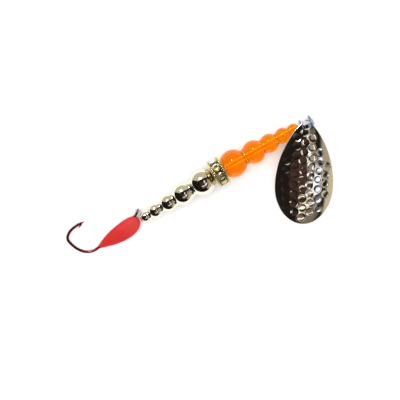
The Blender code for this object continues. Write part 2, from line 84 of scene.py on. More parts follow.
# Rondelle
RONDELLE_RADIUS = 4.0
RONDELLE_HALF = 1.58
FLANGE_THICKNESS = 0.42
RONDELLE_BORE = 0.8
BARREL_RADIUS = 3.15
FLANGE_BORDER = 1.0
FLANGE_DISH = 0.1
FLANGE_LAND = 0.42
FLANGE_LAND_ROUND = 0.06
FLANGE_STEPS = 384
BEADS_ON_RIM = 48
RIM_BEAD_DEPTH = 0.07
STONE_COUNT = 8
STONE_GIRDLE = 1.09
STONE_TABLE = 0.62
STONE_CROWN_HEIGHT = 0.42
STONE_STAR = (0.90, 0.27)
STONE_EDGE = (0.05, -0.03)
STONE_BREAK = (0.66, -0.42)
STONE_CULET = 0.10
STONE_PAVILION_HEIGHT = 0.80
STONE_PLACE = 3.42
STONE_TURN = 0.39
CLAW_X = 0.78
CLAW_ROUTE = ((1.3, 2.9), (1.25, 3.35), (0.86, 3.76))
CLAW_RADII = (0.20, 0.14)
CUP_INSIDE = [(1.11, -0.02), (0.69, -0.44), (0.14, -0.84), (0.001, -0.84)]
CUP_OUTSIDE = [(0.001, -0.88), (0.17, -0.88), (0.73, -0.47), (1.14, -0.05)]

# Leader
LEADER_RADIUS = 0.15
LEADER_FRONT_X = 30.1
LEADER_DIP = 0.09
LEADER_LEAD = 1.2
LEADER_MOUTH = 0.25
LEADER_ASIDE = (-0.26, 0.42, 0)
LEADER_DOWN = (-0.22, 1.1, -0.02)
LEADER_KNOT_SIDE = (-0.72, -0.69, 0)
KNOT_TURN_RADIUS = 0.56
KNOT_OUTER = 0.70
KNOT_SWEEP = 4.3 * math.pi
KNOT_START = -2.38
KNOT_HEIGHT = 0.28
KNOT_LINE_RADIUS = 0.14
KNOT_STEPS = 96
KNOT_TAG = 0.3
FIT = 0.03

# Clevis
CLEVIS_HEIGHT = 2.5
CLEVIS_BEND = 1.4
EAR_RADIUS = 1.45
EAR_HOLE_RADIUS = 0.6
STRAP_HALF_WIDTH = 0.55
STRAP_THICKNESS = 0.42
STRAP_EDGE = 0.11
EAR_BLEND = 0.175
EAR_BLEND_PLACE = 0.92
EAR_BLEND_LENGTH = 0.16

# Blade
BLADE_LENGTH = 28.2
BLADE_HALF_WIDTH = 7.85
BLADE_WIDEST = 17.9
BLADE_TAPER_POWER = 0.8
BLADE_CUP = 2.0
BLADE_CUP_CENTRE = 14.1
BLADE_THICKNESS = 0.5
BLADE_HOLE_PLACE = 1.55
BLADE_HOLE_RADIUS = 1.2
BLADE_HOLE_FROM_LEG = 0.8
BLADE_HEADING = math.radians(-122.1)
BLADE_PITCH = math.radians(6.2)
BLADE_ROLL = math.radians(-5.0)
DENT_PITCH = 2.5
DENT_COLUMN_GAP = 2.12
DENT_SHIFT = -0.62
DENT_RADIUS = 1.03
DENT_DEPTH = 0.085
DENT_STEEPNESS = 3.2
DENT_LIP = 0.010
DENT_SIDE_MARGIN = 1.3
DENT_END_MARGIN = 1.0
DENT_FIRST = 3.6
DENT_ROWS = 12
DENT_DRIFT = (0.22, 0.20)
DENT_WANDER = 0.25
DENT_LIP_PLACE = 1.1
DENT_LIP_WIDTH = 0.1
BLADE_SPINE = (4.0, 20.3)
BLADE_RINGS = (62, 40)
BLADE_EDGE = 0.14

# Hook
WIRE_RADIUS = 0.375
EYE_WIRE_RADIUS = 0.36
EYE_RADIUS = 0.8
EYE_ANGLE = math.radians(28)
EYE_REACH = 1.6
SHANK_LENGTH = 13.3
LOWER_BEND = (5.05, 6.45)
BEND_FULLNESS = 0.9
UPPER_BEND = (3.03, 1.95)
POINT_LENGTH = 3.8
POINT_DROP = 0.68
POINT_CURVE = 1.8
POINT_TIP = 0.06
POINT_TAPER = 1.5
BARB_ROOT = (-1.1, 0.1, 0)
BARB_LEAN = (-1, -0.27, 0)
BARB_LENGTH = 1.5
BARB_RADIUS = 0.24
BARB_SAG = 0.05
BARB_STEPS = 12
LOWER_BEND_STEPS = 48
UPPER_BEND_STEPS = 30
POINT_STEPS = 32
EYE_SWEEP = range(-120, 149, 4)
EYE_TURN_IN = (0.02, 0.02, 0.12)
BARE_FROM = -1.9
BARE_TO = -1.2
HOOK_YAW = math.radians(10.5)
HOOK_PITCH = math.radians(-3.2)

# Painted body on the hook
BODY_LENGTH = 13.1
BODY_HALF_WIDTH = 2.4
BODY_HALF_THICKNESS = 1.04
BODY_FRONT = 0.02
BODY_OFFSET_FRONT = -1.0
BODY_OFFSET_REAR = -0.05
BODY_BOW = 0.52
BODY_BOW_BLUNT_POWER = 0.8
BODY_BOW_SHARP_POWER = 1.6
BODY_BLUNT_POWER = 0.42
BODY_SHARP_POWER = 0.8
BODY_COLLAR = 0.5
BODY_FLATTENING = 0.98
BODY_WAVES = (0.006, 0.005)
BODY_ROWS = 90
BODY_COLUMNS = 72
# Where the painted highlight on the body's blunt end fades out, in millimetres back from its front
BLUNT_PAINTED_LIGHT_FROM = 0.5
BLUNT_PAINTED_LIGHT_TO = 7.5

# Camera: above the lure, turned so that the leader runs up to the right
VIEW_TURN = math.radians(-30.15)
VIEW_FROM_RONDELLE = (-8.07, -4.02)
VIEW_WIDTH = 107.4
VIEW_HEIGHT = 3.0
LENS = 200.0
SENSOR = 36.0


# ---- Frames ----

def joint_place(name):
    joint = next(j for j in frame["joints"] if j["name"] == name)
    return Vector(joint["pos_m"])


def joint_axis(name):
    joint = next(j for j in frame["joints"] if j["name"] == name)
    return Vector(joint["axis"]).normalized()


def frame_from(origin, x, y):
    """A frame at origin from its X and Y directions."""
    return Matrix.Translation(origin) @ Matrix((x, y, x.cross(y))).transposed().to_4x4()


def line_frame(name):
    """A joint's frame with +X forwards along its axis and +Z as near to up as it can be."""
    x = joint_axis(name)
    return frame_from(joint_place(name), x, Vector((0, 0, 1)).cross(x).normalized())


# ---- Meshes ----

def mesh_object(name, verts, faces, matrix, sharp=40):
    """A piece from points in millimetres in the frame matrix. Edges over sharp degrees stay crisp."""
    mesh = bpy.data.meshes.new(name)
    mesh.from_pydata([tuple(v) for v in np.asarray(verts, float) * MM], [], faces)
    mesh.transform(matrix)
    piece = bpy.data.objects.new(name, mesh)
    bpy.context.scene.collection.objects.link(piece)
    bm = bmesh.new()
    bm.from_mesh(mesh)
    bmesh.ops.remove_doubles(bm, verts=bm.verts, dist=0.0000005)
    bmesh.ops.recalc_face_normals(bm, faces=bm.faces)
    bm.to_mesh(mesh)
    bm.free()
    shade(piece, sharp)
    return piece


def shade(piece, sharp):
    piece.data.shade_smooth()
    piece.data.set_sharp_from_angle(angle=math.radians(sharp))


def grid_faces(rows, columns, close_rows=False):
    """Quads between rows of points, where each row is a closed ring."""
    faces = []
    last = rows if close_rows else rows - 1
    for i in range(last):
        for j in range(columns):
            a = i * columns + j
            b = i * columns + (j + 1) % columns
            c = ((i + 1) % rows) * columns + (j + 1) % columns
            d = ((i + 1) % rows) * columns + j
            faces.append((a, b, c, d))
    return faces


def lathe(name, profile, matrix, steps=96, closed=True, sharp=40, wave=None):
    """A turned piece from a profile of (radius, height). wave(radius, height, angle) adds to a radius, and
    brings extra columns at the two seams."""
    angles = [2 * math.pi * i / steps for i in range(steps)]
    if wave:
        seam = [a % (2 * math.pi) for a in SEAM_COLUMNS] + [a + math.pi for a in SEAM_COLUMNS]
        angles = sorted(angles + seam)
    verts = []
    for radius, height in profile:
        for a in angles:
            r = radius + (wave(radius, height, a) if wave else 0)
            verts.append((r * math.cos(a), r * math.sin(a), height))
    faces = grid_faces(len(profile), len(angles), closed)
    return mesh_object(name, verts, faces, matrix, sharp)


def arc(centre, radius, start, end, step=math.radians(5)):
    count = max(1, math.ceil(abs(end - start) / step))
    angles = [start + (end - start) * i / count for i in range(count + 1)]
    return [(centre[0] + radius * math.cos(a), centre[1] + radius * math.sin(a)) for a in angles]


def smooth_route(points, count):
    """Points along a Catmull-Rom curve through the given points, count of them to each stretch."""
    points = [Vector(p) for p in points]
    padded = [2 * points[0] - points[1]] + points + [2 * points[-1] - points[-2]]
    route = []
    for a, b, c, d in zip(padded, padded[1:], padded[2:], padded[3:]):
        for i in range(count):
            t = i / count
            curved = (2 * a - 5 * b + 4 * c - d) * t**2 + (3 * b - a - 3 * c + d) * t**3
            route.append((2 * b + (c - a) * t + curved) / 2)
    return route + [points[-1]]


def tube_points(route, radii, segments):
    """Rings round a route, turned as little as they can be from one to the next, with a point at each end."""
    route = [Vector(p) for p in route]
    side = (route[1] - route[0]).orthogonal().normalized()
    verts = []
    for i, (point, radius) in enumerate(zip(route, radii)):
        ahead = route[min(i + 1, len(route) - 1)] - route[max(i - 1, 0)]
        ahead.normalize()
        side = (side - ahead * side.dot(ahead)).normalized()
        up = ahead.cross(side)
        for j in range(segments):
            a = 2 * math.pi * j / segments
            verts.append(point + radius * (math.cos(a) * side + math.sin(a) * up))
    return verts


def tube(name, route, radii, matrix, segments=24):
    verts = tube_points(route, radii, segments)
    faces = grid_faces(len(route), segments)
    faces.append(tuple(range(segments))[::-1])
    faces.append(tuple(range(len(verts) - segments, len(verts))))
    return mesh_object(name, verts, faces, matrix, 50)


def even_loop(points, step):
    """Evenly spaced points on a closed loop through the given ones."""
    points = np.asarray(points, float)
    loop = np.vstack([points, points[:1]])
    reach = np.concatenate([[0], np.cumsum(np.linalg.norm(np.diff(loop, axis=0), axis=1))])
    count = int(round(reach[-1] / step / 2)) * 2
    at = np.linspace(0, reach[-1], count, endpoint=False)
    return np.column_stack([np.interp(at, reach, loop[:, 0]), np.interp(at, reach, loop[:, 1])])


def sheet_shell(name, outline, spine, rings, thickness, edge, surface, matrix, under=None):
    """A shaped sheet with a rounded rim. outline is its flat shape and spine the (start, end) of the line
    in its middle that the rings shrink to. surface(x, y) gives points and normals for flat places. under is
    how many rings the lower side has, where it differs from rings."""
    ahead = np.roll(outline, -1, 0) - np.roll(outline, 1, 0)
    outward = np.column_stack([ahead[:, 1], -ahead[:, 0]]) / np.linalg.norm(ahead, axis=1)[:, None]
    if np.sum(outward * (outline - outline.mean(0))) < 0:
        outward = -outward
    inset = outline - outward * edge
    middle = np.column_stack([np.clip(outline[:, 0], *spine), np.zeros(len(outline))])
    half = thickness / 2
    flat = []
    for i in range(rings):
        flat.append((middle + (inset - middle) * i / rings, half))
    for a in np.radians(np.arange(90, -91, -18)):
        rise = (half - edge) * (1 if a > 0 else -1 if a < 0 else 0) + edge * math.sin(a)
        flat.append((inset + outward * edge * math.cos(a), rise))
    under = under or rings
    for i in range(under - 1, -1, -1):
        flat.append((middle + (inset - middle) * i / under, -half))
    verts = []
    for places, rise in flat:
        points, normals = surface(places[:, 0], places[:, 1])
        verts.append(points + normals * rise)
    faces = grid_faces(len(flat), len(outline))
    return mesh_object(name, np.vstack(verts), faces, matrix, 60)


def cylinder(name, radius, depth, matrix, segments=64):
    ring = [(radius * math.cos(2 * math.pi * i / segments), radius * math.sin(2 * math.pi * i / segments))
            for i in range(segments)]
    verts = [(x, y, -depth / 2) for x, y in ring] + [(x, y, depth / 2) for x, y in ring]
    faces = grid_faces(2, segments)
    faces += [tuple(range(segments))[::-1], tuple(range(segments, 2 * segments))]
    return mesh_object(name, verts, faces, matrix)


def combine(piece, tool, operation, sharp=40):
    """Applies one Boolean to piece and removes the tool."""
    modifier = piece.modifiers.new("combine", "BOOLEAN")
    modifier.object = tool
    modifier.operation = operation
    modifier.solver = "EXACT"
    bpy.context.view_layer.update()
    graph = bpy.context.evaluated_depsgraph_get()
    mesh = bpy.data.meshes.new_from_object(piece.evaluated_get(graph))
    piece.modifiers.clear()
    piece.data = mesh
    bpy.data.objects.remove(tool)
    shade(piece, sharp)


def joined(name, pieces):
    """One piece from several that share a material."""
    bm = bmesh.new()
    for piece in pieces:
        bm.from_mesh(piece.data)
    mesh = bpy.data.meshes.new(name)
    bm.to_mesh(mesh)
    bm.free()
    for piece in pieces:
        bpy.data.objects.remove(piece)
    whole = bpy.data.objects.new(name, mesh)
    bpy.context.scene.collection.objects.link(whole)
    return whole


def mark(piece, name, value_at):
    """Stores value_at(place in metres) at each point, for the material to read."""
    values = piece.data.attributes.new(name, "FLOAT", "POINT").data
    for i, vert in enumerate(piece.data.vertices):
        values[i].value = value_at(vert.co)


def ramp(value, low, high):
    t = min(max((value - low) / (high - low), 0), 1)
    return t * t * (3 - 2 * t)


def finish_piece(piece, body, slot, material, *nodes):
    piece.data.materials.clear()
    piece.data.materials.append(material)
    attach(piece, body)
    if nodes:
        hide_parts(*nodes)
    return piece


# ---- Materials ----

class Nodes:
    """A short way to build a material's nodes."""

    def __init__(self, name, **values):
        self.material = bpy.data.materials.new(name)
        self.material.use_nodes = True
        self.tree = self.material.node_tree
        self.shader = self.tree.nodes["Principled BSDF"]
        self.output = self.tree.nodes["Material Output"]
        for socket, value in values.items():
            self.shader.inputs[socket.replace("_", " ")].default_value = value

    def add(self, kind, **inputs):
        node = self.tree.nodes.new(kind)
        for socket, value in inputs.items():
            target = node.inputs[socket.replace("_", " ")]
            if isinstance(value, bpy.types.NodeSocket):
                self.tree.links.new(value, target)
            else:
                target.default_value = value
        return node

    def link(self, source, target):
        self.tree.links.new(source, self.shader.inputs[target])

    def place(self):
        return self.add("ShaderNodeTexCoord").outputs["Object"]

    def noise(self, scale, detail=3.0, stretch=(1, 1, 1), roughness=0.5):
        mapped = self.add("ShaderNodeMapping", Vector=self.place(), Scale=stretch)
        noise = self.add("ShaderNodeTexNoise", Vector=mapped.outputs["Vector"], Scale=scale, Detail=detail,
                         Roughness=roughness)
        return noise.outputs["Fac"]

    def spread(self, value, low, high, to_low, to_high):
        node = self.add("ShaderNodeMapRange", Value=value)
        node.inputs["From Min"].default_value = low
        node.inputs["From Max"].default_value = high
        node.inputs["To Min"].default_value = to_low
        node.inputs["To Max"].default_value = to_high
        return node.outputs["Result"]

    def colours(self, value, low, high):
        """From low, a colour or a socket, to the colour high as value runs from 0 to 1."""
        node = self.tree.nodes.new("ShaderNodeMix")
        node.data_type = "RGBA"
        if isinstance(low, bpy.types.NodeSocket):
            self.tree.links.new(low, node.inputs[6])
        else:
            node.inputs[6].default_value = (*low, 1)
        node.inputs[7].default_value = (*high, 1)
        self.tree.links.new(value, node.inputs[0])
        return node.outputs[2]

    def attribute(self, name):
        node = self.tree.nodes.new("ShaderNodeAttribute")
        node.attribute_name = name
        return node.outputs["Fac"]

    def bump(self, height, depth, onto=None):
        """Relief of the given depth in metres where height runs from 0 to 1."""
        node = self.add("ShaderNodeBump", Height=height, Strength=1.0, Distance=depth)
        if onto:
            self.tree.links.new(onto, node.inputs["Normal"])
        return node.outputs["Normal"]


def orange_plastic_painted_glow():
    # Painted glow: the emission makes the orange plastic give off light of its own, to brighten it.
    m = Nodes("orange_plastic_painted_glow", Base_Color=(1, 0.49, 0.01, 1), IOR=1.49, Transmission_Weight=0.90,
              Specular_Tint=(1, 0.60, 0.12, 1), Emission_Color=(1, 0.22, 0, 1), Emission_Strength=0.06)
    m.link(m.spread(m.noise(700, 4), 0.35, 0.7, 0.0, 0.05), "Roughness")
    m.link(m.bump(m.noise(420, 2), 0.00002), "Normal")
    volume = m.add("ShaderNodeVolumeAbsorption", Color=(1.0, 0.85, 0.0, 1), Density=260)
    m.tree.links.new(volume.outputs["Volume"], m.output.inputs["Volume"])
    return m.material


def plated_plastic():
    m = Nodes("plated_plastic", Metallic=1.0)
    m.link(m.colours(m.noise(260, 3), (0.74, 0.70, 0.59), (0.80, 0.77, 0.68)), "Base Color")
    m.link(m.spread(m.noise(900, 4), 0.3, 0.75, 0.035, 0.10), "Roughness")
    m.link(m.bump(m.noise(330, 2), 0.000012), "Normal")
    return m.material


def gold_plate():
    m = Nodes("gold_plate", Metallic=1.0)
    m.link(m.colours(m.noise(900, 3), (0.58, 0.47, 0.17), (0.76, 0.65, 0.32)), "Base Color")
    m.link(m.spread(m.noise(1500, 4), 0.3, 0.7, 0.10, 0.26), "Roughness")
    m.link(m.bump(m.noise(2200, 3), 0.000015), "Normal")
    return m.material


def cut_glass():
    m = Nodes("cut_glass", Base_Color=(0.98, 0.97, 0.93, 1), IOR=1.6, Transmission_Weight=1.0)
    m.link(m.spread(m.noise(2500, 2), 0.3, 0.7, 0.0, 0.02), "Roughness")
    return m.material


def foil():
    m = Nodes("foil", Metallic=1.0)
    m.link(m.colours(m.noise(1800, 2), (0.40, 0.37, 0.24), (0.80, 0.78, 0.68)), "Base Color")
    m.link(m.spread(m.noise(3000, 3), 0.3, 0.7, 0.08, 0.22), "Roughness")
    return m.material


def blade_nickel():
    m = Nodes("blade_nickel", Metallic=1.0)
    m.link(m.colours(m.noise(150, 4), (0.86, 0.82, 0.74), (0.93, 0.91, 0.87)), "Base Color")
    scratches = m.noise(260, 5, (0.25, 6, 1), 0.7)
    m.link(m.spread(scratches, 0.45, 0.75, 0.045, 0.13), "Roughness")
    m.link(m.bump(scratches, 0.000008), "Normal")
    return m.material


def clevis_nickel():
    m = Nodes("clevis_nickel", Metallic=1.0)
    # Painted reflection: the dark navy-blue base colour is a reflection painted onto the nickel strap, not
    # the colour of the metal.
    m.link(m.colours(m.noise(500, 3), (0.15, 0.20, 0.36), (0.42, 0.46, 0.58)), "Base Color")
    m.link(m.spread(m.noise(1400, 4, (1, 4, 1)), 0.35, 0.7, 0.02, 0.08), "Roughness")
    m.link(m.bump(m.noise(1600, 4, (1, 4, 1)), 0.00001), "Normal")
    return m.material


def hook_lacquer():
    m = Nodes("hook_lacquer", Coat_Weight=0.8, Coat_Roughness=0.06, Metallic=1.0)
    red = m.colours(m.noise(700, 3), (0.11, 0.003, 0.005), (0.24, 0.008, 0.011))
    m.link(m.colours(m.attribute("bare"), red, (0.22, 0.24, 0.18)), "Base Color")
    m.link(m.spread(m.noise(1300, 4), 0.3, 0.7, 0.16, 0.34), "Roughness")
    m.link(m.bump(m.noise(1500, 3), 0.00001), "Normal")
    return m.material


def body_paint():
    m = Nodes("body_paint", Coat_Weight=0.06, Coat_Roughness=0.32, Specular_IOR_Level=0.22)
    patchy = m.colours(m.noise(330, 4), (0.46, 0.008, 0.007), (0.50, 0.013, 0.011))
    # Painted highlight: the red turns lighter and pinker towards the blunt end of the body.
    m.link(m.colours(m.attribute("blunt"), patchy, (0.51, 0.030, 0.026)), "Base Color")
    m.link(m.spread(m.noise(600, 4), 0.3, 0.7, 0.42, 0.58), "Roughness")
    m.link(m.bump(m.noise(900, 3), 0.00002, m.bump(m.noise(170, 2), 0.00008)), "Normal")
    return m.material


def nylon():
    m = Nodes("nylon", Base_Color=(0.98, 0.99, 0.99, 1), IOR=1.33, Transmission_Weight=1.0)
    m.link(m.spread(m.noise(1800, 3), 0.3, 0.7, 0.03, 0.09), "Roughness")
    return m.material


# ---- Bead stacks ----

def neck_centre(place_a, radius_a, place_b, radius_b):
    """Centre of the fillet that touches two balls on their outside, as (distance from axis, height)."""
    gap = place_b - place_a
    reach_a = radius_a + NECK_FILLET
    reach_b = radius_b + NECK_FILLET
    height = (gap**2 + reach_a**2 - reach_b**2) / (2 * gap)
    return math.sqrt(reach_a**2 - height**2), place_a + height


def stack_profile(places, big_end_cut):
    outer = []
    angle = -math.asin(big_end_cut / BALL_RADII[0])
    for i, (place, radius) in enumerate(zip(places, BALL_RADII)):
        if i + 1 < len(places):
            neck = neck_centre(place, radius, places[i + 1], BALL_RADII[i + 1])
            end = math.atan2(neck[1] - place, neck[0])
        else:
            end = math.asin(SMALL_END_CUT / radius)
        outer += arc((0, place), radius, angle, end)
        if i + 1 < len(places):
            angle = math.atan2(neck[1] - places[i + 1], neck[0])
            outer += arc(neck, NECK_FILLET, end - math.pi, angle - math.pi, NECK_STEP)[1:-1]
    top = places[-1] + SMALL_END_CUT
    r = MOUTH_RADIUS
    mouth = arc((BORE_RADIUS + r, r - big_end_cut), r, -math.pi / 2, -math.pi, MOUTH_STEP)
    far = outer[-1][0] - BORE_RADIUS - MOUTH_LAND
    r_top = min(r, far)
    mouth_top = arc((BORE_RADIUS + r_top, top - r_top), r_top, math.pi, math.pi / 2, MOUTH_STEP)
    low, high = mouth[-1][1], mouth_top[0][1]
    bore = [(BORE_RADIUS, low + (high - low) * i / BORE_ROWS) for i in range(1, BORE_ROWS)]
    return outer[::-1] + mouth + bore + mouth_top


def flash(radius, height, angle):
    """The fine raised line that the mould's two halves leave, and a faint ripple in the bore."""
    if radius < 2 * BORE_RADIUS:
        return BORE_RIPPLE * math.sin(BORE_TWIST * height + 2 * angle) * math.sin(BORE_SWELL * height)
    off = min(abs((angle + math.pi / 2) % math.pi - math.pi / 2), 1)
    return FLASH_HEIGHT * math.exp(-((off / FLASH_HALF_ANGLE) ** 2))


def add_stacks():
    turned = Matrix.Rotation(math.radians(90), 4, "X")
    front = line_frame("front_beads_spin") @ turned @ ALONG_X
    rear = line_frame("rear_beads_spin") @ turned @ ALONG_X @ Matrix.Rotation(math.pi, 4, "X")
    profile = stack_profile(FRONT_BALL_PLACES, FRONT_BIG_END_CUT)
    orange = lathe("orange_bead_stack", profile, front, wave=flash)
    finish_piece(orange, "front_beads", "orange_bead", orange_plastic_painted_glow(), "front_bead_stack")
    profile = stack_profile(REAR_BALL_PLACES, REAR_BIG_END_CUT)
    silver = lathe("silver_bead_stack", profile, rear, wave=flash)
    finish_piece(silver, "rear_beads", "chrome_bead", plated_plastic(), "rear_bead_stack")


# ---- Rondelle ----

def hull(points, matrix, name):
    mesh = bpy.data.meshes.new(name)
    bm = bmesh.new()
    for p in points:
        bm.verts.new(Vector(p) * MM)
    bmesh.ops.convex_hull(bm, input=bm.verts)
    loose = [v for v in bm.verts if not v.link_faces]
    bmesh.ops.delete(bm, geom=loose, context="VERTS")
    bmesh.ops.dissolve_limit(bm, angle_limit=math.radians(1), verts=bm.verts, edges=bm.edges)
    bm.transform(matrix)
    bmesh.ops.recalc_face_normals(bm, faces=bm.faces)
    bm.to_mesh(mesh)
    bm.free()
    piece = bpy.data.objects.new(name, mesh)
    bpy.context.scene.collection.objects.link(piece)
    return piece


def ring_points(count, radius, height, offset=0.0):
    angles = [2 * math.pi * (i + offset) / count for i in range(count)]
    return [(radius * math.cos(a), radius * math.sin(a), height) for a in angles]


def stone_points():
    points = ring_points(8, STONE_TABLE, STONE_CROWN_HEIGHT)
    points += ring_points(8, *STONE_STAR, 0.5)
    points += ring_points(16, STONE_GIRDLE, STONE_EDGE[0]) + ring_points(16, STONE_GIRDLE, STONE_EDGE[1])
    points += ring_points(8, *STONE_BREAK, 0.5)
    return points + ring_points(8, STONE_CULET, -STONE_PAVILION_HEIGHT)


def flange_profile(side):
    rim = FLANGE_THICKNESS / 2
    outer = RONDELLE_HALF
    inner = outer - FLANGE_THICKNESS
    border = RONDELLE_RADIUS - FLANGE_BORDER
    profile = [(RONDELLE_BORE + 0.08, outer - FLANGE_DISH), (border, outer - FLANGE_DISH)]
    land = (RONDELLE_RADIUS - rim - FLANGE_LAND, outer - FLANGE_LAND_ROUND)
    profile += arc(land, FLANGE_LAND_ROUND, math.pi * 0.75, math.pi / 2)
    profile += arc((RONDELLE_RADIUS - rim, outer - rim), rim, math.pi / 2, -math.pi / 2, math.radians(15))
    profile += [(border, inner), (RONDELLE_BORE, inner), (RONDELLE_BORE, outer - 0.18)]
    return profile if side > 0 else [(r, -z) for r, z in reversed(profile)]


def milled(radius, height, angle):
    """Fine beads round the flange's rim."""
    share = ramp(radius, RONDELLE_RADIUS - 0.35, RONDELLE_RADIUS - 0.05)
    return -RIM_BEAD_DEPTH * share * abs(math.sin(BEADS_ON_RIM / 2 * angle)) ** 3


def add_rondelle():
    place = line_frame("rondelle_spin")
    gold = gold_plate()
    for name, side in (("front", 1), ("rear", -1)):
        rim = lathe(f"rondelle_rim_{name}", flange_profile(side), place @ ALONG_X, FLANGE_STEPS, wave=milled)
        finish_piece(rim, "rondelle", "gold_rim", gold, f"rondelle_flange_{name}")
    half = RONDELLE_HALF - FLANGE_THICKNESS - FIT
    core = [(BARREL_RADIUS, half), (BARREL_RADIUS - 0.1, 0), (BARREL_RADIUS, -half)]
    core += [(RONDELLE_BORE, -half), (RONDELLE_BORE, half)]
    barrel = lathe("barrel", core, place @ ALONG_X)
    claws = []
    for i in range(STONE_COUNT):
        around = place @ Matrix.Rotation(2 * math.pi * i / STONE_COUNT, 4, "X")
        for x in (-CLAW_X, CLAW_X):
            route = smooth_route([(x * lean, 0, height) for lean, height in CLAW_ROUTE], 6)
            radii = np.linspace(*CLAW_RADII, len(route)).tolist()
            claws.append(tube("claw", route, radii, around, 12))
    finish_piece(joined("rondelle_barrel", [barrel] + claws), "rondelle", "gold_rim", gold, "rondelle_core")
    glass = cut_glass()
    shine = foil()
    cups = []
    for i in range(STONE_COUNT):
        around = place @ Matrix.Rotation(2 * math.pi * (i + 0.5) / STONE_COUNT, 4, "X")
        seat = around @ Matrix.Translation((0, 0, STONE_PLACE * MM)) @ Matrix.Rotation(STONE_TURN * i, 4, "Z")
        stone = hull(stone_points(), seat, f"crystal_{i + 1}")
        finish_piece(stone, "rondelle", "crystal", glass, f"rondelle_crystal_{i + 1}")
        cups.append(lathe("cup", CUP_INSIDE + CUP_OUTSIDE, seat, 32))
    finish_piece(joined("crystal_foil_cups", cups), "rondelle", "crystal", shine)


# ---- Blade ----

def blade_half_width(x):
    if x < BLADE_WIDEST:
        return BLADE_HALF_WIDTH * (1 - (1 - x / BLADE_WIDEST) ** 2) ** BLADE_TAPER_POWER
    t = (x - BLADE_WIDEST) / (BLADE_LENGTH - BLADE_WIDEST)
    return BLADE_HALF_WIDTH * math.sqrt(max(0, 1 - t**2))


def dents():
    """Centres and radii of the hammered dents, in columns along the blade, each a little off its place."""
    rng = random.Random(11)
    found = []
    for column in range(-4, 5):
        for row in range(DENT_ROWS):
            x = DENT_FIRST + DENT_PITCH * (row + 0.5 * (column % 2)) + rng.uniform(-1, 1) * DENT_DRIFT[0]
            y = DENT_SHIFT + DENT_COLUMN_GAP * column + rng.uniform(-1, 1) * DENT_DRIFT[1]
            y += DENT_WANDER * math.sin(0.3 * x)
            radius = DENT_RADIUS * rng.uniform(0.92, 1.05)
            if x < BLADE_LENGTH - DENT_END_MARGIN and abs(y) < blade_half_width(x) - DENT_SIDE_MARGIN:
                found.append((x, y, radius))
    return found


def dent_depth(x, y, places):
    """How far the sheet is driven down at flat places, with a slight lip round each dent."""
    depth = np.zeros_like(x)
    lip = np.zeros_like(x)
    for cx, cy, radius in places:
        q = np.hypot(x - cx, y - cy) / radius
        depth = np.maximum(depth, 1 - np.minimum(q, 1) ** DENT_STEEPNESS)
        lip = np.maximum(lip, np.exp(-(((q - DENT_LIP_PLACE) / DENT_LIP_WIDTH) ** 2)))
    return DENT_LIP * lip * (depth == 0) - DENT_DEPTH * depth


def add_blade():
    x = joint_axis("clevis_spin")
    y = joint_axis("blade_swing")
    crown = frame_from(joint_place("blade_swing"), x, y)
    hole = crown @ Vector(((BLADE_HOLE_FROM_LEG - CLEVIS_BEND) * MM, 0, 0))
    turn = Matrix.Rotation(BLADE_HEADING, 4, "Z") @ Matrix.Rotation(BLADE_PITCH, 4, "Y")
    place = Matrix.Translation(hole) @ turn @ Matrix.Rotation(BLADE_ROLL, 4, "X")
    count = 400
    xs = [BLADE_LENGTH * (1 - math.cos(math.pi * i / count)) / 2 for i in range(count + 1)]
    right = [(p, blade_half_width(p)) for p in xs]
    outline = even_loop(right + [(p, -q) for p, q in right[-2:0:-1]], 0.13)
    places = dents()

    def surface(x, y):
        along = (x - BLADE_CUP_CENTRE) / BLADE_CUP_CENTRE
        at_hole = ((BLADE_HOLE_PLACE - BLADE_CUP_CENTRE) / BLADE_CUP_CENTRE) ** 2
        height = BLADE_CUP * (at_hole - along**2 - (y / BLADE_HALF_WIDTH) ** 2)
        slope_x = -2 * BLADE_CUP * along / BLADE_CUP_CENTRE
        slope_y = -2 * BLADE_CUP * y / BLADE_HALF_WIDTH**2
        normals = np.column_stack([-slope_x, -slope_y, np.ones_like(x)])
        normals /= np.linalg.norm(normals, axis=1)[:, None]
        points = np.column_stack([x - BLADE_HOLE_PLACE, y, height + dent_depth(x, y, places)])
        return points, normals

    blade = sheet_shell("hammered_blade", outline, BLADE_SPINE, BLADE_RINGS[0], BLADE_THICKNESS,
                        BLADE_EDGE, surface, place, BLADE_RINGS[1])
    punch = cylinder("punch", BLADE_HOLE_RADIUS, 4, place)
    combine(blade, punch, "DIFFERENCE", 50)
    finish_piece(blade, "blade", "blade_nickel", blade_nickel(), "blade")


# ---- Clevis ----

